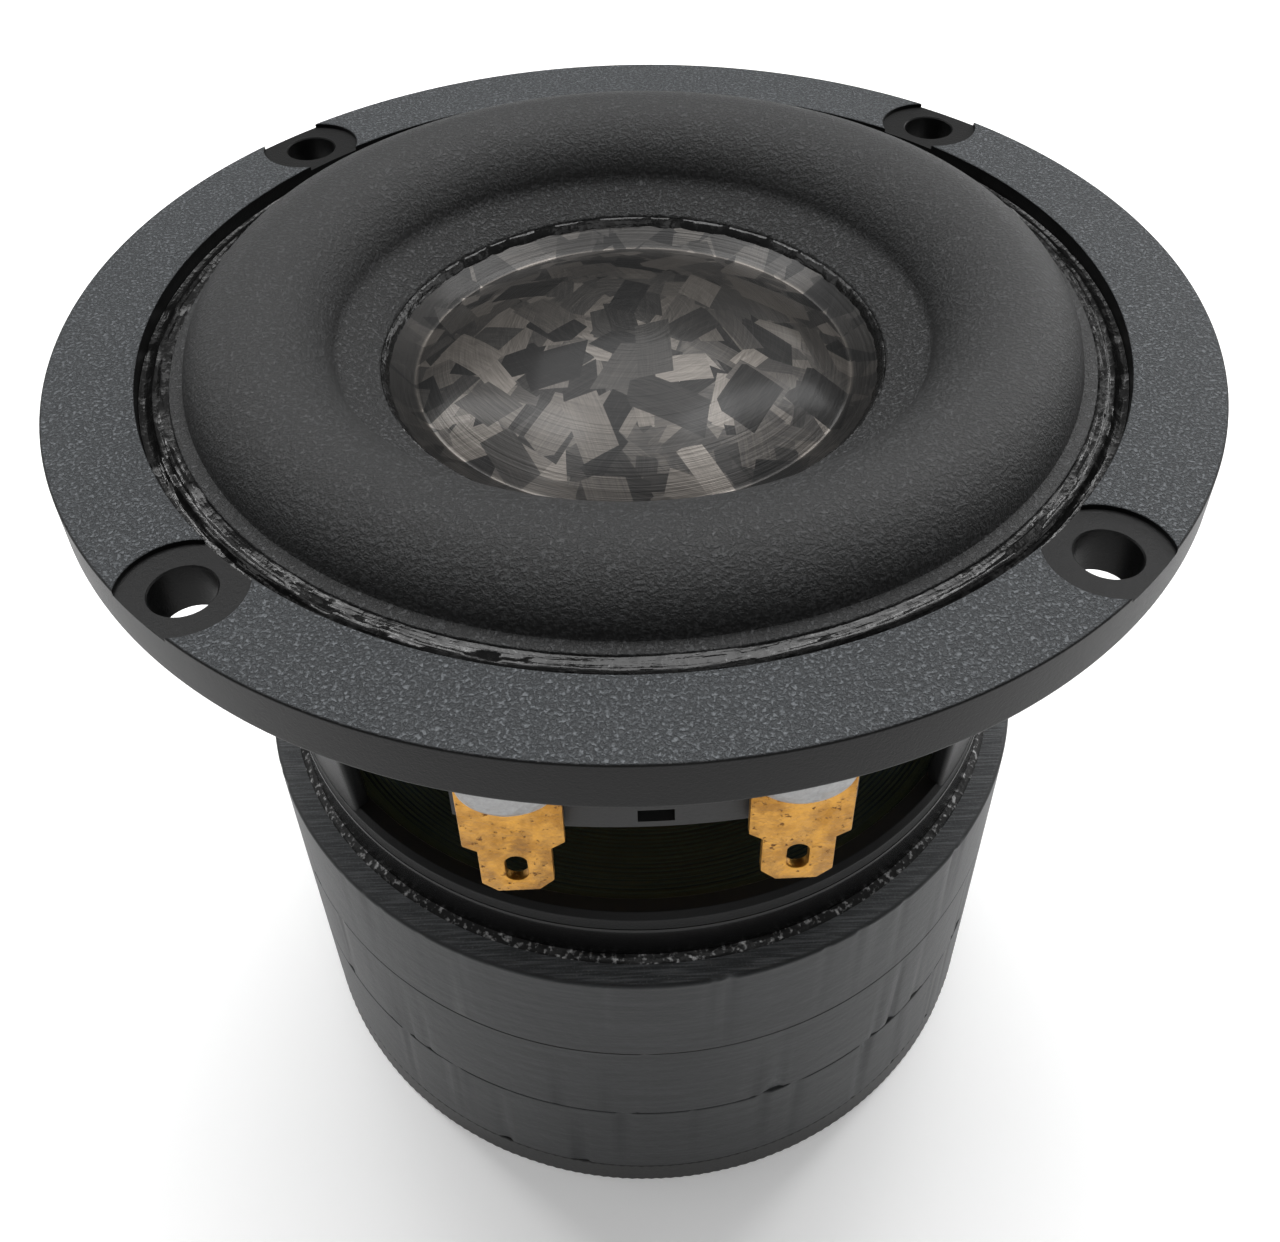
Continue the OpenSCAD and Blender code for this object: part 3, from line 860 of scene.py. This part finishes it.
# %% Surround glue
bead_outline = [(37.22, RECESS_Z), (39.56, RECESS_Z), (39.56, 2.75), (39.3, 2.62), (38.85, 2.62),
                (38.62, 2.9), (38.45, 3.02), (38.25, 2.9), (38.05, 2.98), (37.85, 3.1), (37.65, 3.0),
                (37.4, 3.12), (37.22, 3.05)]
bead = lathe_turn(bead_outline, 480)
for v in bead.verts:
    if v.co.z > 2.6 * MM and v.co.xy.length < 39.5 * MM:
        run = Vector((v.co.x * 260, v.co.y * 260, v.co.xy.length * 1800))
        blob = max(noise.noise(v.co * 330 + Vector((4, 0, 0))) - 0.35, 0)
        v.co.z += 0.09 * MM * noise.noise(run) + 0.04 * MM * noise.noise(v.co * 1500) + blob * 0.5 * MM
make_piece(bead, "surround_glue", glue_black, STILL, ["surround_glue_bead"], sharp=60)

# %% [markdown]
# The diaphragm is a low dome with a conical rim and a crease between them. Its outline follows
# the CAD's parabola with many short steps, because a glossy surface shows every facet.

# %% Turn the diaphragm
DOME_STEPS = 60
front_radii = [CREASE_R * k / DOME_STEPS for k in range(DOME_STEPS)]
front = [(r, dome_z(r)) for r in front_radii]
CREASE_EASE = 0.1
rim = [(CREASE_R - CREASE_EASE, dome_z(CREASE_R - CREASE_EASE)), (CREASE_R, CREASE_Z + 0.02),
       (CREASE_R + 0.12, rim_z(CREASE_R + 0.12))]
rim += [(19 + k, rim_z(19 + k)) for k in range(5)] + [(RIM_R, rim_z(RIM_R))]
back = [(RIM_R, rim_z(RIM_R) - CONE_T)]
back_radii = [CREASE_R * (1 - 2 * k / DOME_STEPS) for k in range(DOME_STEPS // 2 + 1)]
back += [(r, dome_z(r) - CONE_T) for r in back_radii]
diaphragm = lathe_turn(front + rim + back, 256)
make_piece(diaphragm, "carbon_diaphragm", chopped_carbon, MOVING, ["cone"], sharp=20)

# %% Glue round the diaphragm
glue_outline = [(20.35, rim_z(20.35) + 0.01), (20.98, rim_z(20.98) + 0.01), (20.98, rim_z(20.98) + 0.36),
                (20.9, rim_z(20.9) + 0.44), (20.72, rim_z(20.72) + 0.42), (20.5, rim_z(20.5) + 0.2)]
glue = lathe_turn(glue_outline, 480)
for v in glue.verts:
    ripple_at = Vector((v.co.x, v.co.y, 0)) * 700
    reach = 0.12 * MM * noise.noise(ripple_at) + 0.05 * MM * noise.noise(ripple_at * 4)
    if v.co.xy.length < 20.8 * MM:
        v.co.xy *= 1 + reach / v.co.xy.length
make_piece(glue, "diaphragm_glue", glue_black, MOVING, ["cone_glue_bead"], sharp=60)

# %% [markdown]
# ## Voice coil, spider and leads
#
# The former is a tube glued under the dome with a fillet of black glue. The winding is drawn with
# its turns, as a rippled outline. The spider is a woven disc pressed in waves.

# %% Former, collar and winding
FORMER_R = 12.7
FORMER_OUT = 12.9
former_top = dome_z(FORMER_OUT) - CONE_T - 0.05
FORMER_FOOT = -40.7
former = lathe_turn([(FORMER_R, FORMER_FOOT), (FORMER_OUT, FORMER_FOOT), (FORMER_OUT, former_top),
                     (FORMER_R, former_top)], 192)
make_piece(former, "coil_former", former_film, MOVING, ["voice_coil_former"])
collar_top = dome_z(FORMER_OUT) - CONE_T
collar_outline = [(12.92, collar_top - 2.4), (13.0, collar_top - 2.3), (13.15, collar_top - 1.5),
                  (13.5, collar_top - 0.7), (14.1, dome_z(14.1) - CONE_T - 0.02), (12.92, collar_top - 0.05)]
make_piece(lathe_turn(collar_outline, 192), "former_glue", glue_black, MOVING,
           ["former_collar"], sharp=60)
WIRE = 0.2
WINDING = [(FORMER_OUT + 0.01, -31.4), (FORMER_OUT + 0.01, -40.4)]
turns = round((WINDING[0][1] - WINDING[1][1]) / WIRE)
ripples = []
for k in range(turns):
    low = WINDING[1][1] + k * WIRE
    ripples += [(13.32, low), (13.385, low + WIRE * 0.25), (13.4, low + WIRE * 0.5),
                (13.385, low + WIRE * 0.75)]
winding = lathe_turn(WINDING + ripples, 128)
make_piece(winding, "coil_winding", winding_copper, MOVING, ["voice_coil_winding"],
           sharp=60)

# %% Spider
SPIDER_Z = SHELF_Z + 0.225
SPIDER_T = 0.45
WAVES = 5
WAVE_H = 0.75


def spider_wave(r):
    if r < 15 or r > 29.8:
        return SPIDER_Z
    return SPIDER_Z + WAVE_H * sin(2 * pi * WAVES * (r - 15) / 14.8)


radii = [15 + 14.8 * k / 120 for k in range(121)]
top = [(r, spider_wave(r) + SPIDER_T / 2) for r in radii]
under = [(r, spider_wave(r) - SPIDER_T / 2) for r in reversed(radii)]
neck = [(13.0, SPIDER_Z + 1.2), (13.4, SPIDER_Z + 1.2), (13.5, SPIDER_Z + 0.5),
        (13.8, SPIDER_Z + 0.25)]
edge = [(32.6, SPIDER_Z + SPIDER_T / 2), (32.6, SPIDER_Z - SPIDER_T / 2)]
spider = make_piece(lathe_turn(neck + top + edge + under + [(13.0, SPIDER_Z - 0.2)], 256), "spider_disc",
                    spider_cloth, None, ["spider"], sharp=60)
blend_by_radius(spider, 30.0, 14.2)
spider_glue = lathe_turn([(32.2, SPIDER_Z + 0.25), (33.1, SPIDER_Z + 0.25), (33.1, SPIDER_Z + 0.7),
                          (32.8, SPIDER_Z + 0.66), (32.4, SPIDER_Z + 0.5)], 256)
make_piece(spider_glue, "spider_glue", glue_black, STILL, ["spider_glue_bead"], sharp=60)

# %% [markdown]
# A tinsel lead is a soft braid. Six thin strands wind round the route from the former to the
# terminal, as curves that are then made meshes.

# %% Tinsel leads
LEAD_ROUTE = [(4.6, -13, -10.4), (5, -15, -10.5), (5.6, -17.5, -10.9), (6.2, -20, -11.5), (6.8, -22.5, -12.1),
              (7.4, -25, -12.3), (8, -27.5, -12.1), (8.7, -30, -11.4), (9.3, -32.5, -10.4), (9.8, -35, -9.4),
              (10, -36.8, -9), (10, -38.2, -9)]
STRANDS = 6
STRAND_R = 0.17
WIND_R = 0.3
TWISTS_PER_MM = 0.45


def smooth_route(points, per_span):
    """Points on a smooth curve through the route's points."""
    route = []
    for i in range(len(points) - 1):
        p0, p1, p2, p3 = (Vector(points[min(max(j, 0), len(points) - 1)]) for j in range(i - 1, i + 3))
        for k in range(per_span):
            t = k / per_span
            route.append(0.5 * (2 * p1 + (p2 - p0) * t + (2 * p0 - 5 * p1 + 4 * p2 - p3) * t ** 2
                                + (3 * p1 - p0 - 3 * p2 + p3) * t ** 3))
    return route + [Vector(points[-1])]


def lead_strands(side):
    route = smooth_route([(side * x, y, z) for x, y, z in LEAD_ROUTE], 16)
    curve = bpy.data.curves.new("strands", "CURVE")
    curve.dimensions = "3D"
    curve.bevel_depth = STRAND_R * MM
    curve.bevel_resolution = 1
    curve.use_fill_caps = True
    for strand in range(STRANDS):
        line = curve.splines.new("POLY")
        line.points.add(len(route) - 1)
        length = 0
        for i, point in enumerate(route):
            ahead = (route[min(i + 1, len(route) - 1)] - route[max(i - 1, 0)]).normalized()
            across = ahead.cross(Vector((0, 0, 1))).normalized()
            length += (point - route[max(i - 1, 0)]).length
            a = 2 * pi * (strand / STRANDS + length * TWISTS_PER_MM)
            place = (point + (across * cos(a) + ahead.cross(across) * sin(a)) * WIND_R) * MM
            line.points[i].co = (*place, 1)
    holder = bpy.data.objects.new("strands", curve)
    bpy.context.scene.collection.objects.link(holder)
    view = bpy.context.evaluated_depsgraph_get()
    mesh = bpy.data.meshes.new_from_object(holder.evaluated_get(view))
    bm = bmesh.new()
    bm.from_mesh(mesh)
    bpy.data.objects.remove(holder)
    bpy.data.meshes.remove(mesh)
    return bm


for side, sign in ((1, "positive"), (-1, "negative")):
    lead = make_piece(lead_strands(side), "lead_" + sign, tinsel_braid, None,
                      ["tinsel_lead_" + sign], sharp=60)
    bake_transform(lead)

# %% Lead anchors
ANCHOR_Z = -10.4
ANCHOR_TURN = 20
anchors = []
for side in (-1, 1):
    anchor = lathe_turn([(0, 0), (1.2, 0), (1.12, 0.3), (0.95, 0.5), (0.7, 0.58), (0, 0.6)], 40)
    turn(anchor, 90, "Y")
    shift(anchor, FORMER_OUT + 0.01, 0, ANCHOR_Z)
    turn(anchor, -90 + side * ANCHOR_TURN, "Z")
    anchors.append(anchor)
make_piece(join(*anchors), "lead_glue_pads", glue_black, MOVING, ["lead_anchors"], sharp=60)

# %% [markdown]
# ## Motor
#
# The top plate's face keeps the rings that the lathe cut, as real grooves. Each ferrite ring is
# turned, and noise pushes small chips into its brittle edges.

# %% Top plate
GROOVE_PITCH = 0.42
GROOVE_DEPTH = 0.05
grooves = []
count = int((31.4 - 14.6) / GROOVE_PITCH)
for k in range(count):
    r = 14.6 + k * GROOVE_PITCH
    grooves += [(r, PLATE_TOP), (r + GROOVE_PITCH * 0.35, PLATE_TOP - GROOVE_DEPTH),
                (r + GROOVE_PITCH * 0.7, PLATE_TOP - GROOVE_DEPTH * 0.3)]
plate_outline = [(14, PLATE_FOOT), (14, PLATE_TOP - 0.3), (14.3, PLATE_TOP)] + grooves
plate_outline += [(31.6, PLATE_TOP), (33.9, PLATE_TOP), (34.05, PLATE_TOP - 0.05), (PLATE_R, PLATE_TOP - 0.2),
                  (PLATE_R, PLATE_TOP - 0.4), (PLATE_R, PLATE_FOOT + 0.1), (PLATE_R - 0.1, PLATE_FOOT)]
make_piece(lathe_turn(plate_outline, 288), "front_plate", plated_steel, STILL, ["top_plate"])

# %% Glue line at the plate's foot
line_outline = [(34.12, -38.0), (34.78, -38.0), (34.7, -37.86), (34.5, -37.7), (34.3, -37.58),
                (34.12, -37.52)]
line = lathe_turn(line_outline, 480)
for v in line.verts:
    if v.co.z > -37.95 * MM and v.co.xy.length > 34.15 * MM:
        v.co.z += 0.14 * MM * (noise.noise(v.co * 450) - 0.2)
make_piece(line, "plate_glue", glue_silver, STILL, ["plate_glue_bead"], sharp=60)

# %% Ferrite rings
CHIP_DEPTH = 0.55


def ferrite_ring(top, upper_edge, lower_edge, seed):
    """A ground ring whose outer edges have chips; the edges are (rounding, chip share)."""
    foot = top - MAGNET_T
    corners = [(MAGNET_BORE_R, foot, 0.3), (MAGNET_R, foot, lower_edge[0]), (MAGNET_R, top, upper_edge[0]),
               (MAGNET_BORE_R, top, 0.3)]
    bm = lathe_turn(rounded(corners), 540)
    for v in bm.verts:
        if v.co.xy.length < 30 * MM:
            continue
        from_top = top - v.co.z / MM
        share = upper_edge[1] if from_top < 2 else lower_edge[1]
        chip = noise.noise(v.co * 420 + Vector((seed, 0, 0)))
        chip += 0.5 * noise.noise(v.co * 1300 + Vector((seed, 7, 0)))
        bite = max(chip - (1 - share), 0)
        v.co.xy *= 1 - min(bite, 0.8) * CHIP_DEPTH * MM / v.co.xy.length
    return bm


rings = {
    "magnet_front": ((0.25, 0.72), (0.08, 0.45)),
    "magnet_middle": ((0.08, 0.45), (0.14, 0.75)),
    "magnet_rear": ((0.14, 0.72), (0.12, 0.6)),
}
for index, (name, (upper, lower)) in enumerate(rings.items()):
    ring = ferrite_ring(MAGNET_TOPS[index], upper, lower, 11 * index)
    make_piece(ring, name.replace("magnet", "ferrite"), magnet_paint, STILL, [name])

# %% Glue between the rings
GLUE_T = 0.1
GLUE_IN_R = 17


def glue_disc(high, reach, steps):
    """A thin flat ring of glue below a height."""
    low = high - GLUE_T
    return lathe_turn([(GLUE_IN_R, low), (reach, low), (reach, high), (GLUE_IN_R, high)], steps)


joints = [glue_disc(PLATE_FOOT, 33.6, 192)]
for index, reach in enumerate((36.84, 36.3, 36.6)):
    joints.append(glue_disc(MAGNET_TOPS[index] - MAGNET_T, reach, 360))
make_piece(join(*joints), "ring_glue", glue_line, STILL, ["motor_glue_lines"])

# %% Back plate and pole
RIDGES = 480
KNURL = 0.06
POLE_R = 12.3
VENT_R = 4.0
yoke_corners = [(VENT_R + 0.8, BACK_Z, 0), (MAGNET_R, BACK_Z, 0.25), (MAGNET_R, YOKE_TOP, 0.15),
                (POLE_R, YOKE_TOP, 0.4), (POLE_R, PLATE_TOP, 0.5), (VENT_R + 0.8, PLATE_TOP, 0),
                (VENT_R, PLATE_TOP - 0.8, 0), (VENT_R, BACK_Z + 0.8, 0)]
yoke = lathe_turn(rounded(yoke_corners), RIDGES)
for v in yoke.verts:
    if v.co.xy.length > 36.8 * MM:
        column = round(degrees(Vector((1, 0)).angle_signed(v.co.xy)) * RIDGES / 360)
        depth = KNURL * (column % 2) + 0.05 * abs(noise.noise(v.co * 200))
        v.co.xy *= 1 - depth * MM / v.co.xy.length
make_piece(yoke, "back_plate", yoke_steel, STILL, ["back_yoke"])

# %% [markdown]
# ## Studio
#
# A pale floor and large soft lights. One wide light hangs above and behind the driver, with a
# brighter strip at each side: the dome mirrors them as an arch, while the camera's own side stays
# dim. A small low light behind on the right reaches the top plate through the windows.

# %% Floor
floor_mesh = bmesh.new()
bmesh.ops.create_grid(floor_mesh, x_segments=8, y_segments=8, size=3.0)
shift(floor_mesh, 0, 0, BACK_Z - 0.05)
floor_data = bpy.data.meshes.new("floor")
floor_mesh.to_mesh(floor_data)
floor_mesh.free()
floor = bpy.data.objects.new("floor", floor_data)
bpy.context.scene.collection.objects.link(floor)
pale_floor, here = start_material("pale_floor")
finish_material(here, here.grain(0.01).blend(grey(0.88), grey(0.9)), 0.7, Emission_Color=grey(1),
                Emission_Strength=0.2)
floor_data.materials.append(pale_floor)


# %% Lights
def softbox(name, place, size, power, target=(0, 0, 0)):
    """A rectangular light that faces the driver. Places are in metres."""
    light = bpy.data.lights.new(name, "AREA")
    light.shape = "RECTANGLE"
    light.size, light.size_y = size
    light.energy = power
    lamp = bpy.data.objects.new(name, light)
    aim = (Vector(target) - Vector(place)).to_track_quat("-Z", "Y")
    lamp.matrix_world = Matrix.Translation(place) @ aim.to_matrix().to_4x4()
    bpy.context.scene.collection.objects.link(lamp)


softbox("overhead", (0, 0.42, 0.85), (0.85, 0.85), 10, (0, 0.42, 0))
softbox("left_strip", (-0.48, 0.4, 0.8), (0.12, 0.8), 3.2)
softbox("right_strip", (0.48, 0.4, 0.8), (0.12, 0.8), 3.2)
softbox("left_fill", (-0.85, 0.1, 0.35), (0.4, 0.7), 0.9)
softbox("right_fill", (0.85, 0.15, 0.25), (0.5, 0.5), 0.9)
softbox("low_right", (0.35, 0.3, 0.12), (0.3, 0.15), 0.5, (0.02, 0, PLATE_TOP * MM))
softbox("front_fill", (0.1, -0.9, 0.75), (0.8, 0.5), 1.5)
world = bpy.data.worlds.new("studio")
world.use_nodes = True
world.node_tree.nodes["Background"].inputs["Color"].default_value = (1, 1, 1, 1)
world.node_tree.nodes["Background"].inputs["Strength"].default_value = 0.2
bpy.context.scene.world = world
bpy.context.scene.view_settings.view_transform = "Standard"
print("lights:", len(bpy.data.lights))
